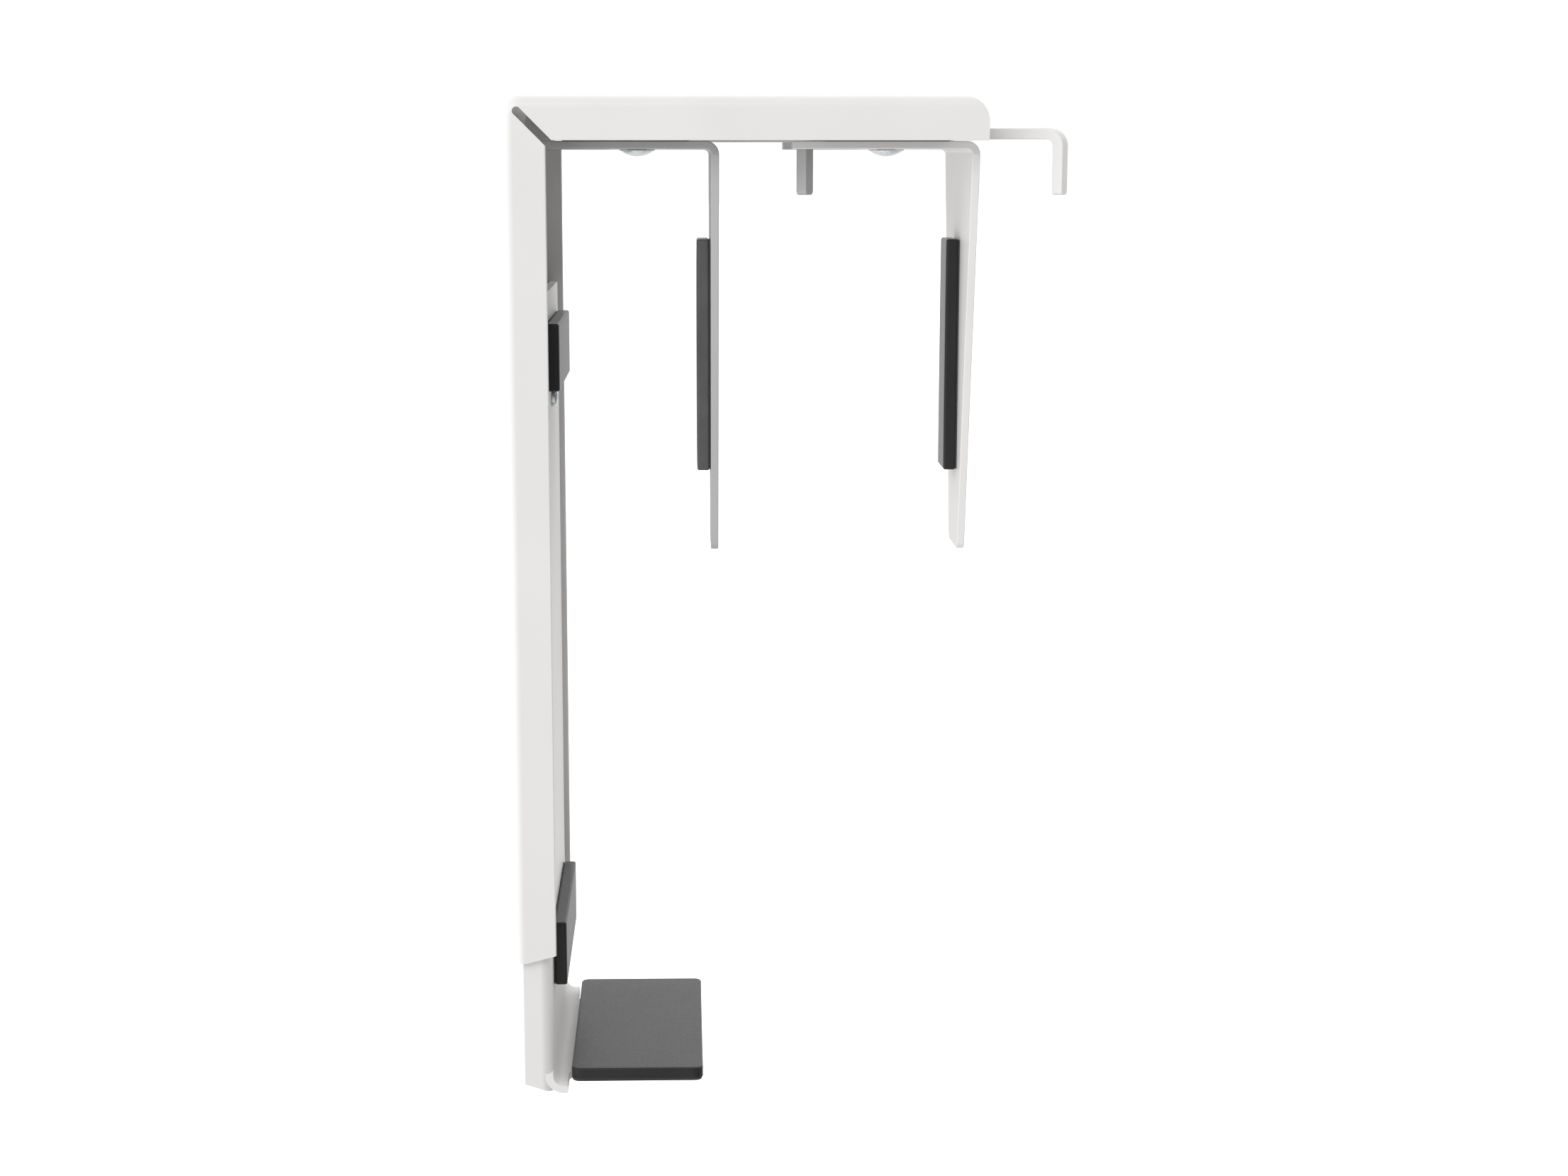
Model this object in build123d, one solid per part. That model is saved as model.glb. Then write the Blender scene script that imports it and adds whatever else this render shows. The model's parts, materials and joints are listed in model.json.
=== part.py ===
"""Under-desk computer holder: a bent L-frame of channel, a telescoping column with a foot,
and two clamp brackets that slide under the beam, each locked by a bent lever.

Millimetres, +Z up. The origin is the centre of the four desk screws, on the top face of the beam.
+X runs along the beam away from the column. The holder is symmetric about Y = 0 but for its levers.
"""
from build123d import *
import os

os.makedirs("parts", exist_ok=True)

# ---- Desk screws
desk_screw_span_x = 150.0
desk_screw_span_y = 72.0
desk_screw_hole_radius = 2.75

# ---- L-frame: one bent sheet, a beam that opens downward and a column that opens to +X
column_face_x = -110.0  # outer face of the column, from the centre of the desk screws
beam_length = 213.4
beam_end_radius = 11.0
channel_width = 146.7
channel_sheet = 2.5
channel_inner_bend = 2.5
flange_edge_radius = 0.6
column_flange = 19.7
column_length = 392.6
column_end_rise = 3.6  # the flanges end higher at their free edge
column_end_flat = 6.0
corner_inner_radius = 6.0
mitre_gap = 3.7
mitre_offset = 0.6
mitre_depth = 6.6

# ---- Clearances
sliding_gap = 0.3
running_gap = 0.05
screw_gap = 0.1

# ---- Telescoping column and its foot
slider_sheet = 3.5
slider_inner_bend = 1.5
slider_inset = 2.5  # from the free edges of the L-frame's column back to the padded face
slider_length = 370.0
slider_extension = 64.4  # how far it stands out below the L-frame at rest
slider_end_rise = 4.5
foot_length = 68.0
foot_tongue_width = 100.0
foot_shoulder = 7.0
foot_shoulder_radius = 4.0
foot_bend_radius = 5.0
slider_edge_radius = 0.6
web_slot_length = 11.0
web_slot_width = 2.6
web_slot_inset = 13.5
web_slot_drop = 53.5

# ---- Soft pads
pad_thickness = 6.3
pad_edge_radius = 1.0
column_pad_width = 103.0
column_pad_height = 30.5
upper_pad_drop = 13.2
lower_pad_rise = 46.5
foot_pad_length = 61.9
foot_pad_width = 128.4
foot_pad_gap = 8.2
foot_pad_corner_radius = 3.5
clamp_pad_width = 26.0
clamp_pad_height = 107.8
clamp_pad_drop = 41.0

# ---- Height lock: a screw in a clinch nut that presses a brake shoe on the L-frame
lock_drop = 50.6
lock_screw_radius = 2.5
lock_head_radius = 4.75
lock_head_height = 2.8
lock_nut_radius = 3.6
lock_nut_flange_radius = 5.5
lock_nut_flange_height = 1.2
brake_shoe_radius = 6.0
brake_shoe_height = 2.4
lock_socket_radius = 1.5
lock_socket_depth = 1.6
lock_head_rounding = 1.7

# ---- Plastic glides between the two columns
glide_length = 30.0
glide_wall = 1.0
glide_side_wall = 0.7
glide_side_gap = 0.65
glide_reach = 8.0
glide_corner_radius = 2.0
mouth_glide_width = 10.0
mouth_glide_inset = 14.0
glide_end_gap = 3.0

# ---- Rail under the beam
rail_start = 16.0
rail_end_gap = 3.0
rail_width = 34.0
rail_height = 8.5
rail_sheet = 1.5
rail_slot_width = 14.0
rail_stop_length = 1.7
rail_rivet_count = 4
rail_rivet_radius = 2.0
rail_rivet_head_radius = 4.0
rail_rivet_head_height = 0.8
rail_rivet_inset = 9.0

# ---- Clamp brackets
clamp_sheet = 3.5
clamp_plate_gap = 0.1
clamp_plate_length = 83.4
clamp_width = 114.0
clamp_bend_radius = 2.5
clamp_leg_length = 189.3
clamp_leg_end_width = 36.4
clamp_leg_corner_radius = 5.0
clamp_edge_radius = 0.5
clamp_leg_edge_radius = 0.4
clamp_bolt_inset = 37.2
clamp_hub_margin = 13.0
clamp_prong_width = 13.0
clamp_notch_radius = 6.0
first_clamp_gap = 9.6  # from the L-frame's column to the first plate at rest
second_clamp_gap = 2.0  # from the second leg to the beam's end at rest

# ---- Clamp bolts, tee nuts, spacers and washers
bolt_head_radius = 8.3
bolt_head_height = 3.0
bolt_shoulder_radius = 4.5
bolt_square = 6.0
bolt_thread_radius = 3.0
bolt_end_gap = 1.0
tee_nut_length = 24.0
tee_nut_head_gap = 0.5
spacer_radius = 11.0
spacer_height = 1.9
washer_radius = 8.5
washer_height = 0.7

# ---- Glide shoes on the clamp plates
shoe_inset = 14.0
shoe_heel = 13.4
shoe_base_height = 5.3
shoe_runner_height = 9.0
shoe_screw_radius = 2.0
shoe_screw_head_radius = 3.6
shoe_screw_head_height = 1.6
shoe_screw_inset = 5.0
shoe_screw_margin = 13.0
shoe_screw_length = 7.5

# ---- Levers
lever_thickness = 5.0
lever_width = 9.0
lever_reach = 83.0
lever_drop = 29.9
lever_angle = -23.0
lever_hub_radius = 9.0
lever_bend_radius = 3.0
lever_tip_radius = 2.0
lever_edge_radius = 0.6
lever_gap = 0.2

# ---- Values that follow
half_width = channel_width / 2
inner_half_width = half_width - channel_sheet
slider_half_width = inner_half_width - glide_side_gap - glide_side_wall
beam_end_x = column_face_x + beam_length
slider_web_x = column_face_x + column_flange - slider_inset
slider_back_x = column_face_x + channel_sheet + sliding_gap + glide_wall
slider_bottom_z = -column_length - slider_extension
slider_top_z = slider_bottom_z + slider_length
foot_top_z = slider_bottom_z + slider_sheet
lock_z = slider_top_z - lock_drop
rail_top_z = -channel_sheet
rail_bottom_z = rail_top_z - rail_height
tee_nut_top_z = rail_top_z - rail_sheet - rail_rivet_head_height - tee_nut_head_gap
spacer_top_z = rail_bottom_z - sliding_gap
lever_top_z = spacer_top_z - spacer_height - lever_gap
lever_bottom_z = lever_top_z - lever_thickness
washer_top_z = lever_bottom_z - lever_gap
plate_top_z = washer_top_z - washer_height
plate_bottom_z = plate_top_z - clamp_sheet
beam_flange = -plate_top_z - clamp_plate_gap  # as deep as the rail and the lever need
first_leg_x = column_face_x + channel_sheet + first_clamp_gap + clamp_plate_length
second_leg_x = beam_end_x - second_clamp_gap
overshoot = 1.0  # how far a cutting body reaches past what it cuts
same_place = 0.01  # how near two coordinates are taken as one


def block(x, y, z):
    """Box between a low and a high value on each axis."""
    sides = [high - low for low, high in (x, y, z)]
    centre = [(high + low) / 2 for low, high in (x, y, z)]
    return Pos(*centre) * Box(*sides)


def prism_along_y(outline, y_low, y_high):
    """Solid of a closed (x, z) outline between two values of y."""
    edge = Polyline(*[(x, y_low, z) for x, z in outline], close=True)
    return extrude(make_face(edge), amount=y_high - y_low, dir=(0, 1, 0))


def post(x, y, z_low, z_high, radius):
    """Upright cylinder between two values of z."""
    return Pos(x, y, (z_low + z_high) / 2) * Cylinder(radius, z_high - z_low)


def bar_along_x(x_low, x_high, y, z, radius):
    """Cylinder along X between two values of x."""
    return Pos((x_low + x_high) / 2, y, z) * Rot(0, 90, 0) * Cylinder(radius, x_high - x_low)


def edges_at(solid, axis, x=None, y=None, z=None):
    """Edges along an axis whose middle has the given coordinates."""
    wanted = (x, y, z)

    def fits(edge):
        middle = edge @ 0.5
        near = [limit is None or abs(value - limit) < same_place for value, limit in zip(middle, wanted)]
        return all(near)

    return solid.edges().filter_by(axis).filter_by(fits)


def mirrored(solid):
    """Copy on the other side of the mid-plane Y = 0."""
    return mirror(solid, about=Plane.XZ)


def both_sides(solid):
    """The solid and its copy on the other side of the mid-plane."""
    return solid + mirrored(solid)


# ---- L-frame

def angle_solid(inset, end_reach, corner, bend):
    """L-shaped solid a distance inside the L-frame, round at its corner and long outer edges."""
    face_x = column_face_x + inset
    top_z = -inset
    end_x = beam_end_x + end_reach
    bottom_z = -column_length - end_reach
    outline = [
        (face_x, bottom_z),
        (face_x, top_z),
        (end_x, top_z),
        (end_x, top_z - beam_flange),
        (face_x + column_flange, top_z - beam_flange),
        (face_x + column_flange, bottom_z),
    ]
    half = half_width - inset
    solid = prism_along_y(outline, -half, half)
    solid = fillet(edges_at(solid, Axis.Y, x=face_x, z=top_z), corner)
    for side in (-half, half):
        seed = edges_at(solid, Axis.X, y=side, z=top_z)
        upright = edges_at(solid, Axis.Z, x=face_x, y=side)
        arc = solid.edges().filter_by(GeomType.CIRCLE).filter_by(
            lambda edge: abs((edge @ 0.5).Y - side) < same_place
        )
        solid = fillet(seed + upright + arc, bend)
    return solid


def desk_screw_holes():
    """Four holes through the top of the beam."""
    holes = Part()
    for x in (-desk_screw_span_x / 2, desk_screw_span_x / 2):
        for y in (-desk_screw_span_y / 2, desk_screw_span_y / 2):
            holes += post(x, y, -channel_sheet - overshoot, overshoot, desk_screw_hole_radius)
    return holes


def rail_rivet_places():
    """Places along X of the rivets that hold the rail."""
    start = column_face_x + rail_start + rail_stop_length + rail_rivet_inset
    end = beam_end_x - rail_end_gap - rail_stop_length - rail_rivet_inset
    step = (end - start) / (rail_rivet_count - 1)
    return [start + index * step for index in range(rail_rivet_count)]


def mitre_notch():
    """Slot with a round end that parts the flanges at the corner."""
    reach = 2 * (beam_flange + column_flange)
    slot = Pos(reach / 2, 0, 0) * Box(reach, channel_width + 2 * overshoot, mitre_gap)
    slot += Rot(90, 0, 0) * Cylinder(mitre_gap / 2, channel_width + 2 * overshoot)
    apex_x = column_face_x + mitre_depth + mitre_offset
    return Pos(apex_x, 0, -mitre_depth) * Rot(0, 45, 0) * slot


def make_l_frame():
    """Bent channel with mitred flanges at its corner."""
    bottom = -column_length
    frame = angle_solid(0, 0, corner_inner_radius + channel_sheet, channel_inner_bend + channel_sheet)
    frame -= angle_solid(channel_sheet, overshoot, corner_inner_radius, channel_inner_bend)
    free_x = column_face_x + column_flange
    frame = fillet(edges_at(frame, Axis.X, z=-beam_flange), flange_edge_radius)
    frame = fillet(edges_at(frame, Axis.Z, x=free_x), flange_edge_radius)
    frame -= mitre_notch()
    side = (-half_width - overshoot, half_width + overshoot)
    corner = block((beam_end_x - beam_end_radius, beam_end_x + overshoot), side,
                   (-beam_end_radius, overshoot))
    rounding = Rot(90, 0, 0) * Cylinder(beam_end_radius, channel_width + 4 * overshoot)
    frame -= corner - Pos(beam_end_x - beam_end_radius, 0, -beam_end_radius) * rounding
    sloped_end = [
        (column_face_x + column_end_flat, bottom),
        (free_x, bottom + column_end_rise),
        (free_x + overshoot, bottom + column_end_rise),
        (free_x + overshoot, bottom - overshoot),
        (column_face_x + column_end_flat, bottom - overshoot),
    ]
    frame -= prism_along_y(sloped_end, *side)
    frame -= desk_screw_holes()
    for x in rail_rivet_places():
        frame -= post(x, 0, -channel_sheet - overshoot, overshoot, rail_rivet_radius)
    return frame


# ---- Rail, its stops and rivets

def make_rail():
    """C-section with a slot between its lips."""
    ends = (column_face_x + rail_start, beam_end_x - rail_end_gap)
    half = rail_width / 2
    rail = block(ends, (-half, half), (rail_bottom_z, rail_top_z))
    inside = half - rail_sheet
    rail -= block(ends, (-inside, inside), (rail_bottom_z + rail_sheet, rail_top_z - rail_sheet))
    slot = rail_slot_width / 2
    rail -= block(ends, (-slot, slot), (rail_bottom_z, rail_bottom_z + rail_sheet))
    for x in rail_rivet_places():
        rail -= post(x, 0, rail_top_z - rail_sheet, rail_top_z, rail_rivet_radius)
    return rail


def make_rail_stop(x_low):
    """Plug that closes one end of the rail."""
    half = rail_width / 2 - rail_sheet
    return block((x_low, x_low + rail_stop_length), (-half, half),
                 (rail_bottom_z + rail_sheet, rail_top_z - rail_sheet))


def make_rail_rivets():
    """Flush rivets with a low head inside the rail."""
    rivets = Part()
    head_top = rail_top_z - rail_sheet
    for x in rail_rivet_places():
        rivet = post(x, 0, head_top, 0, rail_rivet_radius)
        rivet += post(x, 0, head_top - rail_rivet_head_height, head_top, rail_rivet_head_radius)
        rivets += rivet
    return rivets


# ---- Telescoping column

def make_slider():
    """Channel with its web towards +X, bent into a foot at its lower end."""
    half = slider_half_width
    channel = block((slider_back_x, slider_web_x), (-half, half), (slider_bottom_z, slider_top_z))
    corners = edges_at(channel, Axis.Z, x=slider_web_x)
    channel = fillet(corners, slider_inner_bend + slider_sheet)
    hollow = block((slider_back_x - overshoot, slider_web_x - slider_sheet),
                   (-half + slider_sheet, half - slider_sheet),
                   (slider_bottom_z - overshoot, slider_top_z + overshoot))
    inner_corners = edges_at(hollow, Axis.Z, x=slider_web_x - slider_sheet)
    hollow = fillet(inner_corners, slider_inner_bend)
    channel -= hollow
    sloped_end = [
        (slider_back_x - overshoot, slider_bottom_z + slider_end_rise),
        (slider_back_x, slider_bottom_z + slider_end_rise),
        (slider_web_x, slider_bottom_z),
        (slider_web_x, slider_bottom_z - overshoot),
        (slider_back_x - overshoot, slider_bottom_z - overshoot),
    ]
    channel = fillet(edges_at(channel, Axis.Z, x=slider_back_x), slider_edge_radius)
    channel -= prism_along_y(sloped_end, -half - overshoot, half + overshoot)
    outer_bend = foot_bend_radius + slider_sheet
    web_cut_z = slider_bottom_z + outer_bend + overshoot
    between_flanges = half - slider_sheet
    channel -= block((slider_web_x - slider_sheet, slider_web_x + overshoot),
                     (-between_flanges, between_flanges), (slider_bottom_z - overshoot, web_cut_z))
    slider = channel + make_foot(web_cut_z, outer_bend)
    slider -= bar_along_x(slider_web_x - slider_sheet - overshoot, slider_web_x + overshoot,
                          0, lock_z, lock_nut_radius)
    slot_z = slider_top_z - web_slot_drop
    for y in (web_slot_inset - half, half - web_slot_inset):
        slider -= block((slider_web_x - slider_sheet - overshoot, slider_web_x + overshoot),
                        (y - web_slot_width / 2, y + web_slot_width / 2),
                        (slot_z - web_slot_length / 2, slot_z + web_slot_length / 2))
    return slider


def make_foot(web_cut_z, outer_bend):
    """Foot plate with the bend that joins it to the web, narrower past its shoulders."""
    half = slider_half_width
    back_x = slider_web_x - slider_sheet
    end_x = slider_web_x + foot_length
    outline = [
        (back_x, web_cut_z),
        (slider_web_x, web_cut_z),
        (slider_web_x, foot_top_z),
        (end_x, foot_top_z),
        (end_x, slider_bottom_z),
        (back_x, slider_bottom_z),
    ]
    foot = prism_along_y(outline, -half, half)
    foot = fillet(edges_at(foot, Axis.Y, x=back_x, z=slider_bottom_z), outer_bend)
    foot = fillet(edges_at(foot, Axis.Y, x=slider_web_x, z=foot_top_z), foot_bend_radius)
    shoulder_x = slider_web_x + foot_shoulder
    trim = block((shoulder_x, end_x + overshoot), (foot_tongue_width / 2, half + overshoot),
                 (slider_bottom_z - overshoot, foot_top_z + overshoot))
    trim = fillet(edges_at(trim, Axis.Z, x=shoulder_x, y=foot_tongue_width / 2), foot_shoulder_radius)
    foot -= both_sides(trim)
    rims = foot.edges().filter_by(lambda edge: (edge @ 0.5).X > shoulder_x - same_place)
    rims = rims.filter_by(
        lambda edge: min(abs((edge @ 0.5).Z - z) for z in (foot_top_z, slider_bottom_z)) < same_place
    )
    return fillet(rims, slider_edge_radius)


def make_top_glide():
    """Clip over the near flange's free edge, at the top of the telescoping column."""
    outer_y = slider_half_width + glide_side_wall
    inner_y = slider_half_width - slider_sheet - glide_wall
    top = slider_top_z - glide_end_gap
    height = (top - glide_length, top)
    clip = block((slider_back_x - glide_wall, slider_back_x + glide_reach), (-outer_y, -inner_y), height)
    clip = fillet(edges_at(clip, Axis.Z, x=slider_back_x - glide_wall, y=-outer_y), glide_corner_radius)
    flange = block((slider_back_x, slider_back_x + glide_reach + overshoot),
                   (-slider_half_width, -slider_half_width + slider_sheet), height)
    return clip - flange


def make_mouth_glide():
    """Strip inside the near flange of the L-frame, at the mouth of its column."""
    outer_y = inner_half_width
    inner_y = inner_half_width - glide_side_wall
    low = -column_length + mouth_glide_inset
    x_low = column_face_x + channel_sheet + channel_inner_bend + glide_wall
    return block((x_low, x_low + mouth_glide_width), (-outer_y, -inner_y), (low, low + glide_length))


# ---- Height lock

def make_lock_screw():
    """Low round-head screw with a socket, through the clinch nut to the brake shoe."""
    tip_x = column_face_x + channel_sheet + sliding_gap + brake_shoe_height
    screw = bar_along_x(tip_x, slider_web_x, 0, lock_z, lock_screw_radius)
    head = bar_along_x(slider_web_x, slider_web_x + lock_head_height, 0, lock_z, lock_head_radius)
    rim = head.edges().filter_by(GeomType.CIRCLE).sort_by(Axis.X)[-1]
    head = fillet(rim, lock_head_rounding)
    face_x = slider_web_x + lock_head_height
    head -= bar_along_x(face_x - lock_socket_depth, face_x, 0, lock_z, lock_socket_radius)
    return screw + head


def make_lock_nut():
    """Clinch nut in the web, with a flange behind it."""
    back_x = slider_web_x - slider_sheet
    nut = bar_along_x(back_x, slider_web_x, 0, lock_z, lock_nut_radius)
    nut += bar_along_x(back_x - lock_nut_flange_height, back_x, 0, lock_z, lock_nut_flange_radius)
    nut -= bar_along_x(back_x - lock_nut_flange_height, slider_web_x, 0, lock_z,
                       lock_screw_radius + running_gap)
    return nut


def make_brake_shoe():
    """Disc between the screw's tip and the L-frame's web."""
    low_x = column_face_x + channel_sheet + sliding_gap
    return bar_along_x(low_x, low_x + brake_shoe_height, 0, lock_z, brake_shoe_radius)


# ---- Soft pads

def make_column_pad(top):
    """Pad across the web of the telescoping column."""
    pad = block((slider_web_x, slider_web_x + pad_thickness),
                (-column_pad_width / 2, column_pad_width / 2), (top - column_pad_height, top))
    return fillet(edges_at(pad, Axis.Y, x=slider_web_x + pad_thickness), pad_edge_radius)


def make_foot_pad():
    """Pad on the foot, wider than the plate under it."""
    low_x = slider_web_x + foot_pad_gap
    pad = block((low_x, low_x + foot_pad_length), (-foot_pad_width / 2, foot_pad_width / 2),
                (foot_top_z, foot_top_z + pad_thickness))
    pad = fillet(pad.edges().filter_by(Axis.Z), foot_pad_corner_radius)
    return fillet(pad.faces().sort_by(Axis.Z)[-1].edges(), pad_edge_radius)


def make_clamp_pad(leg_x):
    """Pad on the face of a leg that looks at the column."""
    face_x = leg_x - clamp_sheet
    top = plate_bottom_z - clamp_pad_drop
    pad = block((face_x - pad_thickness, face_x), (-clamp_pad_width / 2, clamp_pad_width / 2),
                (top - clamp_pad_height, top))
    return fillet(edges_at(pad, Axis.Y, x=face_x - pad_thickness), pad_edge_radius)


# ---- Clamp bracket and what it carries

def make_clamp_bracket(leg_x):
    """Plate under the beam, bent down into a leg that narrows towards its end."""
    half = clamp_width / 2
    end_x = leg_x - clamp_plate_length
    leg_end_z = plate_top_z - clamp_leg_length
    outline = [
        (end_x, plate_top_z),
        (leg_x, plate_top_z),
        (leg_x, leg_end_z),
        (leg_x - clamp_sheet, leg_end_z),
        (leg_x - clamp_sheet, plate_bottom_z),
        (end_x, plate_bottom_z),
    ]
    bracket = prism_along_y(outline, -half, half)
    bracket = fillet(edges_at(bracket, Axis.Y, x=leg_x, z=plate_top_z), clamp_bend_radius + clamp_sheet)
    inner_bend = edges_at(bracket, Axis.Y, x=leg_x - clamp_sheet, z=plate_bottom_z)
    bracket = fillet(inner_bend, clamp_bend_radius)
    for side in (-half, half):
        plate_edges = edges_at(bracket, Axis.X, y=side, z=plate_top_z)
        plate_edges += edges_at(bracket, Axis.X, y=side, z=plate_bottom_z)
        bracket = fillet(plate_edges, clamp_edge_radius)
    taper_z = plate_bottom_z - clamp_bend_radius
    taper = Polyline((leg_x - clamp_sheet - overshoot, half, taper_z),
                     (leg_x - clamp_sheet - overshoot, half + overshoot, taper_z),
                     (leg_x - clamp_sheet - overshoot, half + overshoot, leg_end_z),
                     (leg_x - clamp_sheet - overshoot, clamp_leg_end_width / 2, leg_end_z),
                     close=True)
    wedge = extrude(make_face(taper), amount=clamp_sheet + 2 * overshoot, dir=(1, 0, 0))
    bracket -= both_sides(wedge)
    bracket = fillet(edges_at(bracket, Axis.X, z=leg_end_z), clamp_leg_corner_radius)
    leg_middle_x = leg_x - clamp_sheet / 2
    on_leg_faces = bracket.edges().filter_by(
        lambda edge: abs(abs((edge @ 0.5).X - leg_middle_x) - clamp_sheet / 2) < same_place
    )
    outline_edges = on_leg_faces.filter_by(lambda edge: (edge @ 0.5).Z < taper_z - overshoot)
    bracket = fillet(outline_edges, clamp_leg_edge_radius)
    bolt_x = leg_x - clamp_bolt_inset
    notch_half = half - clamp_prong_width
    notch = block((end_x - overshoot, bolt_x - clamp_hub_margin), (-notch_half, notch_half),
                  (plate_bottom_z - overshoot, plate_top_z + overshoot))
    notch = fillet(edges_at(notch, Axis.Z, x=bolt_x - clamp_hub_margin), clamp_notch_radius)
    bracket -= notch
    bracket -= post(bolt_x, 0, plate_bottom_z, plate_top_z, bolt_shoulder_radius + running_gap)
    for x, y in shoe_screw_places(leg_x):
        bracket -= shoe_screw(x, y, screw_gap)
    return bracket


def shoe_ends(leg_x):
    """Where the shoes of a clamp start and end along X."""
    return leg_x - clamp_plate_length + shoe_inset, leg_x - shoe_heel


def shoe_screw_places(leg_x):
    """Two screws for the near shoe and two for the far one."""
    start, end = shoe_ends(leg_x)
    side = clamp_width / 2 - shoe_screw_inset
    return [(x, y) for x in (start + shoe_screw_margin, end - shoe_screw_margin) for y in (-side, side)]


def shoe_screw(x, y, gap=0.0):
    """Countersunk screw from below, flush with the plate."""
    shank = post(x, y, plate_bottom_z, plate_bottom_z + shoe_screw_length + gap, shoe_screw_radius + gap)
    head = Pos(x, y, plate_bottom_z + shoe_screw_head_height / 2) * Cone(
        shoe_screw_head_radius + gap, shoe_screw_radius + gap, shoe_screw_head_height
    )
    return shank + head


def make_shoe_screws(leg_x):
    """The four screws of one clamp."""
    screws = Part()
    for x, y in shoe_screw_places(leg_x):
        screws += shoe_screw(x, y)
    return screws


def make_near_shoe(leg_x):
    """Plastic shoe on the near edge of the plate, which runs along the beam's flange."""
    x = shoe_ends(leg_x)
    plate_y = clamp_width / 2
    base = block(x, (-plate_y, -plate_y + clamp_prong_width - overshoot),
                 (plate_top_z, plate_top_z + shoe_base_height))
    runner_low = -beam_flange + sliding_gap
    runner = block(x, (-inner_half_width + sliding_gap, -plate_y),
                   (runner_low, runner_low + shoe_runner_height))
    shoe = base + runner
    for place_x, place_y in shoe_screw_places(leg_x):
        if place_y < 0:
            shoe -= shoe_screw(place_x, place_y, screw_gap)
    return shoe


def make_tee_nut(bolt_x):
    """Nut plate inside the rail, with a neck in its slot."""
    half_length = tee_nut_length / 2
    x = (bolt_x - half_length, bolt_x + half_length)
    plate_half = rail_width / 2 - rail_sheet - sliding_gap
    low = rail_bottom_z + rail_sheet + sliding_gap
    nut = block(x, (-plate_half, plate_half), (low, tee_nut_top_z))
    neck_half = rail_slot_width / 2 - sliding_gap
    nut += block(x, (-neck_half, neck_half), (rail_bottom_z, low))
    nut -= post(bolt_x, 0, rail_bottom_z, tee_nut_top_z, bolt_thread_radius + running_gap)
    return nut


def make_spacer(bolt_x):
    """Thick friction washer between the rail and the lever."""
    ring = post(bolt_x, 0, spacer_top_z - spacer_height, spacer_top_z, spacer_radius)
    return ring - post(bolt_x, 0, lever_top_z, spacer_top_z, bolt_thread_radius + sliding_gap)


def make_washer(bolt_x):
    """Washer between the plate and the lever."""
    ring = post(bolt_x, 0, plate_top_z, washer_top_z, washer_radius)
    return ring - post(bolt_x, 0, plate_top_z, washer_top_z, bolt_shoulder_radius + sliding_gap)


# ---- Lever and its bolt

def turned(shape, bolt_x):
    """Place a shape made on the Z axis on a clamp's bolt axis, at the lever's resting angle."""
    return Pos(bolt_x, 0, 0) * Rot(0, 0, lever_angle) * shape


def make_bolt():
    """Domed bolt: shoulder in the plate, square neck in the lever, thread in the tee nut."""
    head_top = plate_bottom_z - lever_gap
    sphere_radius = (bolt_head_radius ** 2 + bolt_head_height ** 2) / (2 * bolt_head_height)
    ball = Pos(0, 0, head_top - bolt_head_height + sphere_radius) * Sphere(sphere_radius)
    bolt = ball & post(0, 0, head_top - bolt_head_height, head_top, bolt_head_radius)
    bolt += post(0, 0, head_top, lever_bottom_z, bolt_shoulder_radius)
    half = bolt_square / 2
    bolt += block((-half, half), (-half, half), (lever_bottom_z, lever_top_z))
    bolt += post(0, 0, lever_top_z, tee_nut_top_z - bolt_end_gap, bolt_thread_radius)
    return bolt


def make_lever():
    """Flat bar with a round hub, bent down into a grip."""
    half = lever_width / 2
    tip_x = lever_reach + lever_thickness / 2
    tip_z = lever_top_z - lever_drop
    outline = [
        (0, lever_top_z),
        (tip_x, lever_top_z),
        (tip_x, tip_z),
        (tip_x - lever_thickness, tip_z),
        (tip_x - lever_thickness, lever_bottom_z),
        (0, lever_bottom_z),
    ]
    bar = prism_along_y(outline, -half, half)
    bar = fillet(edges_at(bar, Axis.X, z=tip_z), lever_tip_radius)
    bar = fillet(edges_at(bar, Axis.Y, x=tip_x, z=lever_top_z), lever_bend_radius + lever_thickness)
    inner_bend = edges_at(bar, Axis.Y, x=tip_x - lever_thickness, z=lever_bottom_z)
    bar = fillet(inner_bend, lever_bend_radius)
    long_edges = bar.edges().filter_by(lambda edge: (edge @ 0.5).X > same_place).filter_by(
        lambda edge: abs(abs((edge @ 0.5).Y) - half) < lever_tip_radius
    )
    bar = fillet(long_edges, lever_edge_radius)
    hub = post(0, 0, lever_bottom_z, lever_top_z, lever_hub_radius)
    hole = bolt_square / 2
    return bar + hub - block((-hole, hole), (-hole, hole), (lever_bottom_z, lever_top_z))


# ---- Write every sub-part

def save(name, shape):
    """Write one sub-part."""
    export_step(shape, f"parts/{name}.step")


def save_pair(name, near_shape):
    """Write a sub-part and its mirror image."""
    save(f"{name}_near", near_shape)
    save(f"{name}_far", mirrored(near_shape))


def save_clamp(number, leg_x):
    """Write one clamp with its lever."""
    bolt_x = leg_x - clamp_bolt_inset
    save(f"clamp_{number}_bracket", make_clamp_bracket(leg_x))
    save(f"clamp_{number}_pad", make_clamp_pad(leg_x))
    save_pair(f"clamp_{number}_glide_shoe", make_near_shoe(leg_x))
    save(f"clamp_{number}_shoe_screws", make_shoe_screws(leg_x))
    save(f"clamp_{number}_tee_nut", make_tee_nut(bolt_x))
    save(f"clamp_{number}_spacer", make_spacer(bolt_x))
    save(f"clamp_{number}_washer", make_washer(bolt_x))
    save(f"lever_{number}_bolt", turned(make_bolt(), bolt_x))
    save(f"lever_{number}_bar", turned(make_lever(), bolt_x))


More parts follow.
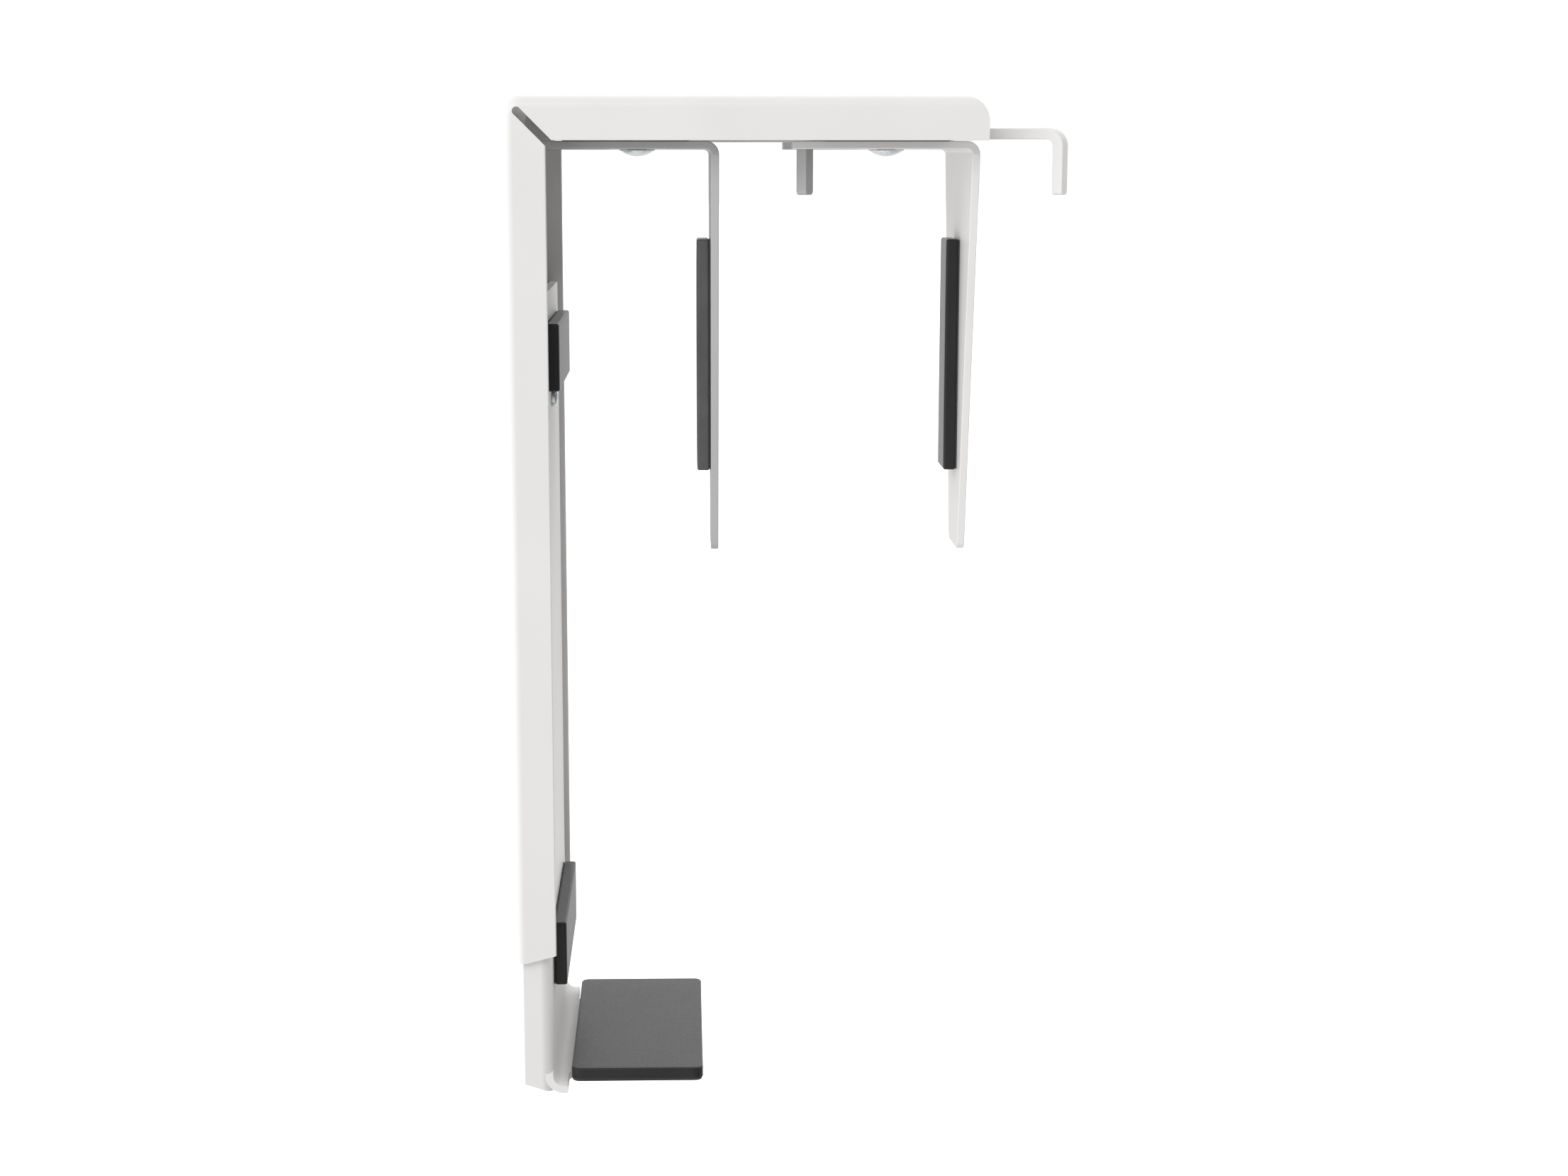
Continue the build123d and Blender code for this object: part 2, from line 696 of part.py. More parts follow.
save("l_frame", make_l_frame())
save("clamp_rail", make_rail())
save("rail_stop_inner", make_rail_stop(column_face_x + rail_start))
save("rail_stop_outer", make_rail_stop(beam_end_x - rail_end_gap - rail_stop_length))
save("rail_rivets", make_rail_rivets())
save_pair("mouth_glide", make_mouth_glide())
save("telescoping_column", make_slider())
save_pair("top_glide", make_top_glide())
save("height_lock_screw", make_lock_screw())
save("height_lock_nut", make_lock_nut())
save("brake_shoe", make_brake_shoe())
save("upper_column_pad", make_column_pad(slider_top_z - upper_pad_drop))
save("lower_column_pad", make_column_pad(slider_bottom_z + lower_pad_rise + column_pad_height))
save("foot_pad", make_foot_pad())
save_clamp(1, first_leg_x)
save_clamp(2, second_leg_x)
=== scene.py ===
import json
import math

import bmesh
import bpy
from mathutils import Matrix, Vector


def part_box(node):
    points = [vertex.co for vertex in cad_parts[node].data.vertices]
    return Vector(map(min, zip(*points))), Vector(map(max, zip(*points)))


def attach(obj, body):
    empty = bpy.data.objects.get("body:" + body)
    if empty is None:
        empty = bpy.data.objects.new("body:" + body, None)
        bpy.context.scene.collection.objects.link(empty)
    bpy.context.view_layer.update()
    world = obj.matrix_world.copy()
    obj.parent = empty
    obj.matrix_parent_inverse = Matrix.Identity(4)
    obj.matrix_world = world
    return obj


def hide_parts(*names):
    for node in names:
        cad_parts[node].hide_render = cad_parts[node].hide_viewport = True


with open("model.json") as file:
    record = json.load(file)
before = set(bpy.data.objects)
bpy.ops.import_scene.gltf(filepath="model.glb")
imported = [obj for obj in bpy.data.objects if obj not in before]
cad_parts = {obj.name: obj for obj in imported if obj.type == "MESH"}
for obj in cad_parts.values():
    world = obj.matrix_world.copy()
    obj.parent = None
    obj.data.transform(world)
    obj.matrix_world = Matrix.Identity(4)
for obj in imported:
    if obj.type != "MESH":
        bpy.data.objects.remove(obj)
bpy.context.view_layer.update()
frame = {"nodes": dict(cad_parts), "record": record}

# Under-desk computer holder. Metres and degrees, in the CAD frame: the beam's top face is at Z = 0.

MM = 0.001

# ---- Camera, floor and light
CAMERA_PLACE = (-0.03102, -1.15834, -0.02607)
CAMERA_PITCH = 80.018
CAMERA_YAW = -1.368
CAMERA_LENS = 56.30
CAMERA_SHIFT_X = 0.0273
CAMERA_SENSOR = 36.0
CAMERA_NEAR = 0.01
FLOOR_Z = -0.62
FLOOR_SIZE = 60.0
FLOOR_GLOW = 0.4
FLOOR_PALE = (0.95, 0.95, 0.95)
FLOOR_PALEST = (0.96, 0.96, 0.96)
ROOM_DARK = 0.04
# Bright parts of the room: heading, agreement with it where the light starts and is full, strength
WALL = ((0.02, 0.985, -0.1), -0.15, 0.88, 1.04)
LEFT = ((-1, 0, 0), 0.1, 0.9, 0.85)
RIGHT = ((0.9, 0.44, 0), 0.3, 0.85, 1.0)
FILL = ((-0.55, -0.45, -0.7), 0.2, 0.95, 1.4)
CEILING = ((0, 0, 1), 0.2, 0.7, 0.75)
KEY_PLACE = (-0.8, -2.2, 1.3)
KEY_SIZE = (1.3, 1.3)
KEY_POWER = 22.0
LIGHT_TARGET = (0.0, 0.0, -0.22)

# ---- Patterns: where a noise reaches its limits of roughness and of colour
ROUGH_START, ROUGH_END = 0.25, 0.75
COLOUR_START, COLOUR_END = 0.3, 0.7

# ---- Soft pads
ALONG_X, ALONG_Z = 0, 2
PAD_EDGE = 1.1 * MM
PAD_CROWN = 0.22 * MM
PAD_WAIST = 0.18 * MM
TAPE_THICKNESS = 0.6 * MM
TAPE_INSET = 0.5 * MM
TAPE_EDGE = 0.15 * MM
PAD_STEP = 2.0 * MM
FOOT_PAD_CORNER = 3.5 * MM
EDGE_CUTS = 5

# ---- Fasteners
SCREW_HEAD_RADIUS = 3.6 * MM
SCREW_SHANK_RADIUS = 2.0 * MM
SCREW_LENGTH = 7.5 * MM
SCREW_HEAD_HEIGHT = 1.6 * MM
SCREW_PITCH = 0.8 * MM
SCREW_RIM = 0.2 * MM
SCREW_RECESS_REACH = 0.6 * SCREW_HEAD_RADIUS
SCREW_RECESS_WIDTH = 1.0 * MM
SCREW_RECESS_DEPTH = 1.1 * MM
RIVET_COUNT = 4
RIVET_HEAD_RADIUS = 4.0 * MM
RIVET_HEAD_HEIGHT = 0.8 * MM
RIVET_SHANK_RADIUS = 2.0 * MM
RIVET_CHAMFER = 0.15 * MM
RIVET_PIN_RADIUS = 0.9 * MM
RIVET_PIN_DEPTH = 0.35 * MM
RIVET_BORE_RADIUS = 1.1 * MM
RIVET_BORE_DEPTH = 0.6 * MM
BOLT_HEAD_RADIUS = 8.3 * MM
BOLT_HEAD_HEIGHT = 3.0 * MM
BOLT_SHOULDER_RADIUS = 4.5 * MM
BOLT_SQUARE_HALF = 3.0 * MM
BOLT_THREAD_RADIUS = 3.0 * MM
BOLT_PITCH = 1.0 * MM
BOLT_CHAMFER = 0.2 * MM
BOLT_SQUARE_EDGE = 0.3 * MM
BOLT_RIM_HEIGHT = 0.35 * MM
BOLT_RIM_INSET = 0.1 * MM
BOLT_RIM_ANGLE = 3
LOCK_SHANK_RADIUS = 2.5 * MM
LOCK_HEAD_RADIUS = 4.75 * MM
LOCK_HEAD_HEIGHT = 2.8 * MM
LOCK_PITCH = 0.8 * MM
LOCK_CHAMFER = 0.2 * MM
LOCK_CROWN_RADIUS = 1.7 * MM
LOCK_SOCKET_ACROSS = 3.0 * MM
LOCK_SOCKET_DEPTH = 1.6 * MM
CUT_OVERSHOOT = 1.0 * MM
THREAD_DEPTH_SHARE = 0.54
THREAD_RINGS_PER_TURN = 8
SHARP_ANGLE = 35
SMALL_TURN_STEPS = 40
TURN_STEPS = 64
LARGE_TURN_STEPS = 96


# ---- Materials

def new_material(name):
    """Empty node material: its tree, its shader and the object's own coordinates."""
    material = bpy.data.materials.new(name)
    material.use_nodes = True
    tree = material.node_tree
    shader = tree.nodes["Principled BSDF"]
    coordinates = tree.nodes.new("ShaderNodeTexCoord").outputs["Object"]
    return material, tree, shader, coordinates


def noise(tree, coordinates, scale, detail=2.0):
    """Noise of a given number of features per metre."""
    node = tree.nodes.new("ShaderNodeTexNoise")
    node.inputs["Scale"].default_value = scale
    node.inputs["Detail"].default_value = detail
    tree.links.new(coordinates, node.inputs["Vector"])
    return node.outputs["Fac"]


def cells(tree, coordinates, scale):
    """Distance to the nearest cell centre."""
    node = tree.nodes.new("ShaderNodeTexVoronoi")
    node.inputs["Scale"].default_value = scale
    tree.links.new(coordinates, node.inputs["Vector"])
    return node.outputs["Distance"]


def spread(tree, value, start, end, low, high):
    """The value from start to end, spread between two limits."""
    node = tree.nodes.new("ShaderNodeMapRange")
    node.inputs["From Min"].default_value = start
    node.inputs["From Max"].default_value = end
    node.inputs["To Min"].default_value = low
    node.inputs["To Max"].default_value = high
    tree.links.new(value, node.inputs["Value"])
    return node.outputs["Result"]


def between(tree, value, dark, light):
    """Colour between two colours."""
    node = tree.nodes.new("ShaderNodeValToRGB")
    node.color_ramp.elements[0].position = COLOUR_START
    node.color_ramp.elements[0].color = (*dark, 1.0)
    node.color_ramp.elements[1].position = COLOUR_END
    node.color_ramp.elements[1].color = (*light, 1.0)
    tree.links.new(value, node.inputs["Fac"])
    return node.outputs["Color"]


def bumped(tree, shader, layers):
    """Bump from several heights, each (height, strength, distance in metres)."""
    before = None
    for height, strength, distance in layers:
        node = tree.nodes.new("ShaderNodeBump")
        node.inputs["Strength"].default_value = strength
        node.inputs["Distance"].default_value = distance
        tree.links.new(height, node.inputs["Height"])
        if before is not None:
            tree.links.new(before, node.inputs["Normal"])
        before = node.outputs["Normal"]
    tree.links.new(before, shader.inputs["Normal"])


def tinted(colour, share):
    """A colour made darker or lighter by a share."""
    return tuple(channel * share for channel in colour)


def coloured(tree, shader, pattern, colour, darker, lighter):
    """Give a shader a colour that runs between two shares of itself along a pattern."""
    blend = between(tree, pattern, tinted(colour, darker), tinted(colour, lighter))
    tree.links.new(blend, shader.inputs["Base Color"])


def roughened(tree, shader, pattern, low, high):
    """Give a shader a roughness that runs between two limits along a pattern."""
    roughness = spread(tree, pattern, ROUGH_START, ROUGH_END, low, high)
    tree.links.new(roughness, shader.inputs["Roughness"])


def powder_coat(name, colour):
    """Satin powder coat: a fine grain on a shallow orange peel."""
    material, tree, shader, place = new_material(name)
    cloudy = noise(tree, place, 16.0)
    coloured(tree, shader, cloudy, colour, 0.975, 1.01)
    peel = noise(tree, place, 420.0)
    grain = noise(tree, place, 2100.0, detail=3.0)
    roughened(tree, shader, peel, 0.40, 0.50)
    bumped(tree, shader, [(peel, 0.16, 0.06 * MM), (grain, 0.22, 0.03 * MM)])
    shader.inputs["IOR"].default_value = 1.5
    return material


def cellular_rubber(name, colour, sheen):
    """Moulded foam rubber: closed pores in a matt skin."""
    material, tree, shader, place = new_material(name)
    cloudy = noise(tree, place, 60.0)
    coloured(tree, shader, cloudy, colour, 0.85, 1.15)
    pores = cells(tree, place, 1500.0)
    skin = noise(tree, place, 900.0, detail=4.0)
    roughened(tree, shader, skin, 0.34, 0.46)
    bumped(tree, shader, [(skin, 0.25, 0.08 * MM), (pores, 0.30, 0.05 * MM)])
    shader.inputs["IOR"].default_value = 1.36
    shader.inputs["Sheen Weight"].default_value = sheen
    shader.inputs["Sheen Roughness"].default_value = 0.45
    return material


def zinc_plate(name, colour):
    """Bright zinc: faint crystals and drawn lines."""
    material, tree, shader, place = new_material(name)
    crystals = cells(tree, place, 700.0)
    coloured(tree, shader, crystals, colour, 0.9, 1.06)
    marks = noise(tree, place, 1300.0, detail=3.0)
    roughened(tree, shader, marks, 0.24, 0.36)
    bumped(tree, shader, [(marks, 0.12, 0.02 * MM)])
    shader.inputs["Metallic"].default_value = 1.0
    return material


def moulded_nylon(name, colour):
    """Moulded plastic with a fine spark-eroded texture."""
    material, tree, shader, place = new_material(name)
    cloudy = noise(tree, place, 90.0)
    coloured(tree, shader, cloudy, colour, 0.85, 1.2)
    texture = noise(tree, place, 2600.0, detail=3.0)
    roughened(tree, shader, texture, 0.40, 0.52)
    bumped(tree, shader, [(texture, 0.3, 0.03 * MM)])
    return material


def adhesive_foam(name, colour):
    """Soft foam tape: open cells, no gloss."""
    material, tree, shader, place = new_material(name)
    foam = cells(tree, place, 2200.0)
    coloured(tree, shader, foam, colour, 0.7, 1.3)
    bumped(tree, shader, [(foam, 0.5, 0.06 * MM)])
    shader.inputs["Roughness"].default_value = 0.85
    return material


finishes = {
    "white_powder_coat": powder_coat("white_powder_coat", (0.755, 0.745, 0.732)),
    "grey_powder_coat": powder_coat("grey_powder_coat", (0.46, 0.46, 0.46)),
    "black_rubber": cellular_rubber("black_rubber", (0.014, 0.014, 0.0145), 0.18),
    "grey_rubber": cellular_rubber("grey_rubber", (0.105, 0.105, 0.105), 0.10),
    "zinc_plate": zinc_plate("zinc_plate", (0.62, 0.645, 0.66)),
    "black_nylon": moulded_nylon("black_nylon", (0.022, 0.022, 0.023)),
}
tape_finish = adhesive_foam("adhesive_foam", (0.05, 0.05, 0.05))
slot_of_node = {row["node"]: row["material_slot"] for row in frame["record"]["subparts"]}


def finish_cad_nodes():
    """Give every carried-over sub-part its finish."""
    for name, piece in frame["nodes"].items():
        slot = slot_of_node[name]
        piece.data.materials.clear()
        piece.data.materials.append(finishes[slot])


# ---- Meshes

def piece_from(name, points, faces, material, smooth=True):
    """Object of a closed mesh with its faces outward."""
    mesh = bpy.data.meshes.new(name)
    mesh.from_pydata(points, [], faces)
    shape = bmesh.new()
    shape.from_mesh(mesh)
    bmesh.ops.remove_doubles(shape, verts=shape.verts, dist=1e-7)
    bmesh.ops.recalc_face_normals(shape, faces=shape.faces)
    for face in shape.faces:
        face.smooth = smooth
    shape.to_mesh(mesh)
    shape.free()
    mesh.materials.append(material)
    piece = bpy.data.objects.new(name, mesh)
    bpy.context.scene.collection.objects.link(piece)
    return piece


def joined(name, parts, material):
    """One object from several, in the order given."""
    shape = bmesh.new()
    for part in parts:
        shape.from_mesh(part.data)
        bpy.data.objects.remove(part)
    mesh = bpy.data.meshes.new(name)
    shape.to_mesh(mesh)
    shape.free()
    mesh.materials.append(material)
    piece = bpy.data.objects.new(name, mesh)
    bpy.context.scene.collection.objects.link(piece)
    return piece


def sharpened(piece):
    """Smooth shading that breaks at sharp edges."""
    piece.data.set_sharp_from_angle(angle=math.radians(SHARP_ANGLE))
    return piece


# ---- Soft pads

def stations(half, radius, step):
    """Places along one half-length either side of zero, closer together at the rounded edges."""
    straight = half - radius
    count = max(2, round(2 * straight / step))
    middle = [-straight + 2 * straight * index / count for index in range(count + 1)]
    turn = [math.tan(math.pi / 4 * index / EDGE_CUTS) * radius for index in range(1, EDGE_CUTS + 1)]
    return [-straight - reach for reach in reversed(turn)] + middle + [straight + reach for reach in turn]


def clamped(value, limit):
    """The value, no further from zero than the limit."""
    return max(-limit, min(limit, value))


def rounded_slab(halves, radius, step):
    """Points and faces of a box with round edges, centred on zero."""
    points = []
    faces = []
    for axis in range(3):
        u, v = (axis + 1) % 3, (axis + 2) % 3
        along, across = stations(halves[u], radius, step), stations(halves[v], radius, step)
        for side in (-1, 1):
            first = len(points)
            for place_u in along:
                for place_v in across:
                    point = [0.0, 0.0, 0.0]
                    point[axis] = side * halves[axis]
                    point[u] = place_u
                    point[v] = place_v
                    core = Vector([clamped(value, half - radius) for value, half in zip(point, halves)])
                    out = (Vector(point) - core).normalized()
                    points.append(core + out * radius)
            row = len(across)
            for i in range(len(along) - 1):
                for j in range(row - 1):
                    corner = first + i * row + j
                    faces.append((corner, corner + 1, corner + row + 1, corner + row))
    return points, faces


def upright_corners(points, halves, radius, u, v):
    """Round the slab's corners about its thickness by pulling them onto a circle."""
    rounded = []
    for point in points:
        over_u = abs(point[u]) - (halves[u] - radius)
        over_v = abs(point[v]) - (halves[v] - radius)
        if over_u > 0 and over_v > 0:
            reach = max(over_u, over_v)
            length = math.hypot(over_u, over_v)
            point = point.copy()
            point[u] = math.copysign(halves[u] - radius + over_u * reach / length, point[u])
            point[v] = math.copysign(halves[v] - radius + over_v * reach / length, point[v])
        rounded.append(point)
    return rounded


def pad_shape(name, centre, halves, axis, side, edge, corner, soft, material):
    """Slab whose exposed face, on one side of an axis, is crowned and whose rim is drawn in."""
    u, v = (axis + 1) % 3, (axis + 2) % 3
    points, faces = rounded_slab(halves, edge, PAD_STEP)
    if corner:
        points = upright_corners(points, halves, corner, u, v)
    shaped = []
    for point in points:
        share_u, share_v = point[u] / halves[u], point[v] / halves[v]
        swell = (1 - share_u ** 4) * (1 - share_v ** 4) * PAD_CROWN * soft
        height = (1 + side * point[axis] / halves[axis]) / 2
        waist = PAD_WAIST * soft * math.sin(math.pi * height)
        point = point.copy()
        point[u] -= waist * share_u ** 5 * (1 - share_v ** 4)
        point[v] -= waist * share_v ** 5 * (1 - share_u ** 4)
        point[axis] += side * swell * height
        shaped.append(point + centre)
    return piece_from(name, shaped, faces, material)


def make_pad(node, body, axis, side, corner=0.0):
    """Foam pad on its strip of tape, in the place of a plain pad that faces one way along an axis."""
    low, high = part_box(node)
    halves = (high - low) / 2
    centre = (high + low) / 2
    foam_halves = halves.copy()
    foam_halves[axis] -= TAPE_THICKNESS / 2
    foam_centre = centre.copy()
    foam_centre[axis] += side * TAPE_THICKNESS / 2
    slot = slot_of_node[node]
    pad = pad_shape(f"{node}_foam", foam_centre, foam_halves, axis, side,
                    PAD_EDGE, corner, 1.0, finishes[slot])
    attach(pad, body)
    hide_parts(node)
    tape_halves = halves - Vector((TAPE_INSET, TAPE_INSET, TAPE_INSET))
    tape_halves[axis] = TAPE_THICKNESS / 2
    tape_centre = centre.copy()
    tape_centre[axis] -= side * (halves[axis] - TAPE_THICKNESS / 2)
    tape = pad_shape(f"{node}_tape", tape_centre, tape_halves, axis, side,
                     TAPE_EDGE, corner, 0.0, tape_finish)
    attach(tape, body)


# ---- Turned and threaded shapes

def turned(name, outline, material, steps=TURN_STEPS):
    """Closed solid of an outline of (radius, z) turned about the Z axis, from pole to pole."""
    points = []
    faces = []
    for radius, z in outline:
        for index in range(steps):
            angle = 2 * math.pi * index / steps
            points.append((radius * math.cos(angle), radius * math.sin(angle), z))
    for ring in range(len(outline) - 1):
        for index in range(steps):
            after = (index + 1) % steps
            a, b = ring * steps + index, ring * steps + after
            faces.append((a, b, b + steps, a + steps))
    return sharpened(piece_from(name, points, faces, material))


def arc(centre_r, centre_z, radius, start, end, count):
    """Points of an arc in (radius, z), angles in degrees from the outward direction."""
    angles = [math.radians(start + (end - start) * index / count) for index in range(count + 1)]
    return [(max(0.0, centre_r + radius * math.cos(a)), centre_z + radius * math.sin(a)) for a in angles]


def thread(name, radius, pitch, z_low, z_high, material, steps=36):
    """Closed rod with a helical thread."""
    depth = THREAD_DEPTH_SHARE * pitch
    turns = (z_high - z_low) / pitch
    rings = max(THREAD_RINGS_PER_TURN, round(turns * THREAD_RINGS_PER_TURN))
    points = [(0.0, 0.0, z_low)]
    faces = []
    for ring in range(rings + 1):
        z = z_low + (z_high - z_low) * ring / rings
        end_share = min(1.0, (z_high - z) / pitch, (z - z_low) / pitch + 0.5)
        for index in range(steps):
            turn = index / steps
            phase = (z / pitch - turn) % 1.0
            ridge = abs(2 * phase - 1) * end_share
            reach = radius - depth * (1 - ridge)
            angle = 2 * math.pi * turn
            points.append((reach * math.cos(angle), reach * math.sin(angle), z))
    last = len(points)
    points.append((0.0, 0.0, z_high))
    for index in range(steps):
        after = (index + 1) % steps
        faces.append((0, 1 + after, 1 + index))
        top = 1 + rings * steps
        faces.append((last, top + index, top + after))
        for ring in range(rings):
            a, b = 1 + ring * steps + index, 1 + ring * steps + after
            faces.append((a, b, b + steps, a + steps))
    return piece_from(name, points, faces, material)


def bar_between(name, half, z_low, z_high, edge, material):
    """Square bar with round edges on the Z axis."""
    halves = Vector((half, half, (z_high - z_low) / 2))
    points, faces = rounded_slab(halves, edge, half)
    lift = Vector((0, 0, (z_low + z_high) / 2))
    return piece_from(name, [point + lift for point in points], faces, material)


def cut_or_join(piece, tool, operation):
    """Take another closed shape out of a piece, or join it on."""
    modifier = piece.modifiers.new("cut_or_join", "BOOLEAN")
    modifier.operation = operation
    modifier.solver = "EXACT"
    modifier.object = tool
    made_plain(piece)
    bpy.data.objects.remove(tool)
    return piece


def made_plain(piece):
    """Turn what a piece's modifiers make into its own mesh."""
    bpy.context.view_layer.update()
    evaluated = piece.evaluated_get(bpy.context.evaluated_depsgraph_get())
    mesh = bpy.data.meshes.new_from_object(evaluated)
    piece.modifiers.clear()
    piece.data = mesh
    return piece


def moved(piece, matrix):
    """Put a piece in its place in its mesh."""
    piece.data.transform(matrix)
    return piece


# ---- Fasteners

def hex_recess(name, across, z_low, z_high, material):
    """Six-sided cutter for a hexagon socket."""
    radius = across / 2 / math.cos(math.pi / 6)
    return turned(name, [(0, z_low), (radius, z_low), (radius, z_high), (0, z_high)], material, steps=6)


def cross_recess(name, reach, width, z_low, z_high, material):
    """Cutter for a cross recess: two crossed bars with round edges."""
    bars = []
    for turn in (0, 90):
        halves = Vector((reach, width / 2, (z_high - z_low) / 2))
        points, faces = rounded_slab(halves, width * 0.2, reach)
        lift = Vector((0, 0, (z_low + z_high) / 2))
        bar = piece_from(f"{name}_{turn}", [point + lift for point in points], faces, material)
        bars.append(moved(bar, Matrix.Rotation(math.radians(turn), 4, "Z")))
    return cut_or_join(bars[0], bars[1], "UNION")


def countersunk_screw(material):
    """Countersunk screw with a cross recess, its head face at Z = 0 and its thread upward."""
    neck_z = SCREW_HEAD_HEIGHT + SCREW_RIM
    head = turned("screw_head", [
        (0, 0), (SCREW_HEAD_RADIUS - SCREW_RIM, 0), (SCREW_HEAD_RADIUS, SCREW_RIM),
        (SCREW_SHANK_RADIUS, SCREW_HEAD_HEIGHT), (SCREW_SHANK_RADIUS * 0.8, neck_z), (0, neck_z),
    ], material, steps=SMALL_TURN_STEPS)
    recess = cross_recess("screw_recess", SCREW_RECESS_REACH, SCREW_RECESS_WIDTH,
                          -CUT_OVERSHOOT, SCREW_RECESS_DEPTH, material)
    cut_or_join(head, recess, "DIFFERENCE")
    shank = thread("screw_shank", SCREW_SHANK_RADIUS, SCREW_PITCH,
                   SCREW_HEAD_HEIGHT, SCREW_LENGTH, material, steps=24)
    return joined("countersunk_screw", [head, shank], material)


def dome_radius(rim_radius, height):
    """Radius of the sphere that a low dome is cut from."""
    return (rim_radius ** 2 + height ** 2) / (2 * height)


def blind_rivet(height, material):
    """Blind rivet: flush shank, low domed head below with the broken pin in its middle."""
    radius = dome_radius(RIVET_HEAD_RADIUS, RIVET_HEAD_HEIGHT)
    rim_angle = math.degrees(math.asin(RIVET_HEAD_RADIUS / radius))
    dome = arc(0, radius - RIVET_HEAD_HEIGHT, radius, -90, -90 + rim_angle, 10)
    pin_z = -RIVET_HEAD_HEIGHT + RIVET_PIN_DEPTH
    # The dome's first points lie over the pin, so its outline is taken up from the last of them.
    over_pin = 2
    outline = [(0, pin_z), (RIVET_PIN_RADIUS, pin_z), (RIVET_PIN_RADIUS, dome[over_pin][1])]
    outline += dome[over_pin + 1:]
    bore_z = height - RIVET_BORE_DEPTH
    outline += [(RIVET_SHANK_RADIUS, 0), (RIVET_SHANK_RADIUS, height - RIVET_CHAMFER),
                (RIVET_SHANK_RADIUS - RIVET_CHAMFER, height), (RIVET_BORE_RADIUS, height),
                (RIVET_PIN_RADIUS, bore_z), (0, bore_z)]
    return turned("blind_rivet", outline, material, steps=SMALL_TURN_STEPS)


def socket(tree, name):
    """Identifier of a tree's named input."""
    return next(item.identifier for item in tree.interface.items_tree if item.name == name)


def grid_of_fasteners_tree():
    """Tree that sets one fastener at each place of a grid of rows."""
    tree = bpy.data.node_groups.new("grid_of_fasteners", "GeometryNodeTree")
    inputs = (("Fastener", "NodeSocketObject"), ("Start", "NodeSocketVector"),
              ("Step Along", "NodeSocketVector"), ("Count Along", "NodeSocketInt"),
              ("Step Across", "NodeSocketVector"), ("Count Across", "NodeSocketInt"),
              ("Finish", "NodeSocketMaterial"))
    for name, kind in inputs:
        tree.interface.new_socket(name, in_out="INPUT", socket_type=kind)
    tree.interface.new_socket("Fasteners", in_out="OUTPUT", socket_type="NodeSocketGeometry")
    nodes, links = tree.nodes, tree.links
    given = nodes.new("NodeGroupInput")
    along = nodes.new("GeometryNodeMeshLine")
    across = nodes.new("GeometryNodeMeshLine")
    links.new(given.outputs["Start"], along.inputs["Start Location"])
    for line, way in ((along, "Along"), (across, "Across")):
        line.mode = "OFFSET"
        links.new(given.outputs[f"Step {way}"], line.inputs["Offset"])
        links.new(given.outputs[f"Count {way}"], line.inputs["Count"])
    rows = nodes.new("GeometryNodeInstanceOnPoints")
    links.new(along.outputs["Mesh"], rows.inputs["Points"])
    links.new(across.outputs["Mesh"], rows.inputs["Instance"])
    places = nodes.new("GeometryNodeRealizeInstances")
    links.new(rows.outputs["Instances"], places.inputs["Geometry"])
    shape = nodes.new("GeometryNodeObjectInfo")
    links.new(given.outputs["Fastener"], shape.inputs["Object"])
    copies = nodes.new("GeometryNodeInstanceOnPoints")
    links.new(places.outputs["Geometry"], copies.inputs["Points"])
    links.new(shape.outputs["Geometry"], copies.inputs["Instance"])
    solid = nodes.new("GeometryNodeRealizeInstances")
    links.new(copies.outputs["Instances"], solid.inputs["Geometry"])
    coated = nodes.new("GeometryNodeSetMaterial")
    links.new(solid.outputs["Geometry"], coated.inputs["Geometry"])
    links.new(given.outputs["Finish"], coated.inputs["Material"])
    result = nodes.new("NodeGroupOutput")
    links.new(coated.outputs["Geometry"], result.inputs["Fasteners"])
    return tree


fastener_tree = grid_of_fasteners_tree()


def grid_of(name, fastener, start, along, across, material):
    """Plain mesh of one fastener repeated over a grid, each way given by its step and its count."""
    piece = bpy.data.objects.new(name, bpy.data.meshes.new(name))
    bpy.context.scene.collection.objects.link(piece)
    modifier = piece.modifiers.new("grid", "NODES")
    modifier.node_group = fastener_tree
    values = (("Fastener", fastener), ("Start", start), ("Step Along", along[0]), ("Count Along", along[1]),
              ("Step Across", across[0]), ("Count Across", across[1]), ("Finish", material))
    for label, value in values:
        modifier[socket(fastener_tree, label)] = value
    made_plain(piece)
    bpy.data.objects.remove(fastener)
    return piece


def make_shoe_screws(number):
    """The four countersunk screws below one clamp's plate."""
    node = f"clamp_{number}_shoe_screws"
    low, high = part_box(node)
    finish = finishes["zinc_plate"]
    inset = SCREW_HEAD_RADIUS
    start = Vector((low.x + inset, low.y + inset, low.z))
    along = Vector((high.x - low.x - 2 * inset, 0, 0))
    across = Vector((0, high.y - low.y - 2 * inset, 0))
    screws = grid_of(f"{node}_cross_recessed", countersunk_screw(finish), start,
                     (along, 2), (across, 2), finish)
    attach(screws, f"clamp_{number}")
    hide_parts(node)


def make_rail_rivets():
    """The row of blind rivets that holds the rail."""
    low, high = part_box("rail_rivets")
    finish = finishes["zinc_plate"]
    step = (high.x - low.x - 2 * RIVET_HEAD_RADIUS) / (RIVET_COUNT - 1)
    rivet = blind_rivet(high.z - low.z - RIVET_HEAD_HEIGHT, finish)
    start = Vector((low.x + RIVET_HEAD_RADIUS, 0, low.z + RIVET_HEAD_HEIGHT))
    rivets = grid_of("rail_blind_rivets", rivet, start,
                     (Vector((step, 0, 0)), RIVET_COUNT), (Vector((0, 0, 0)), 1), finish)
    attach(rivets, "frame")
    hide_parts("rail_rivets")


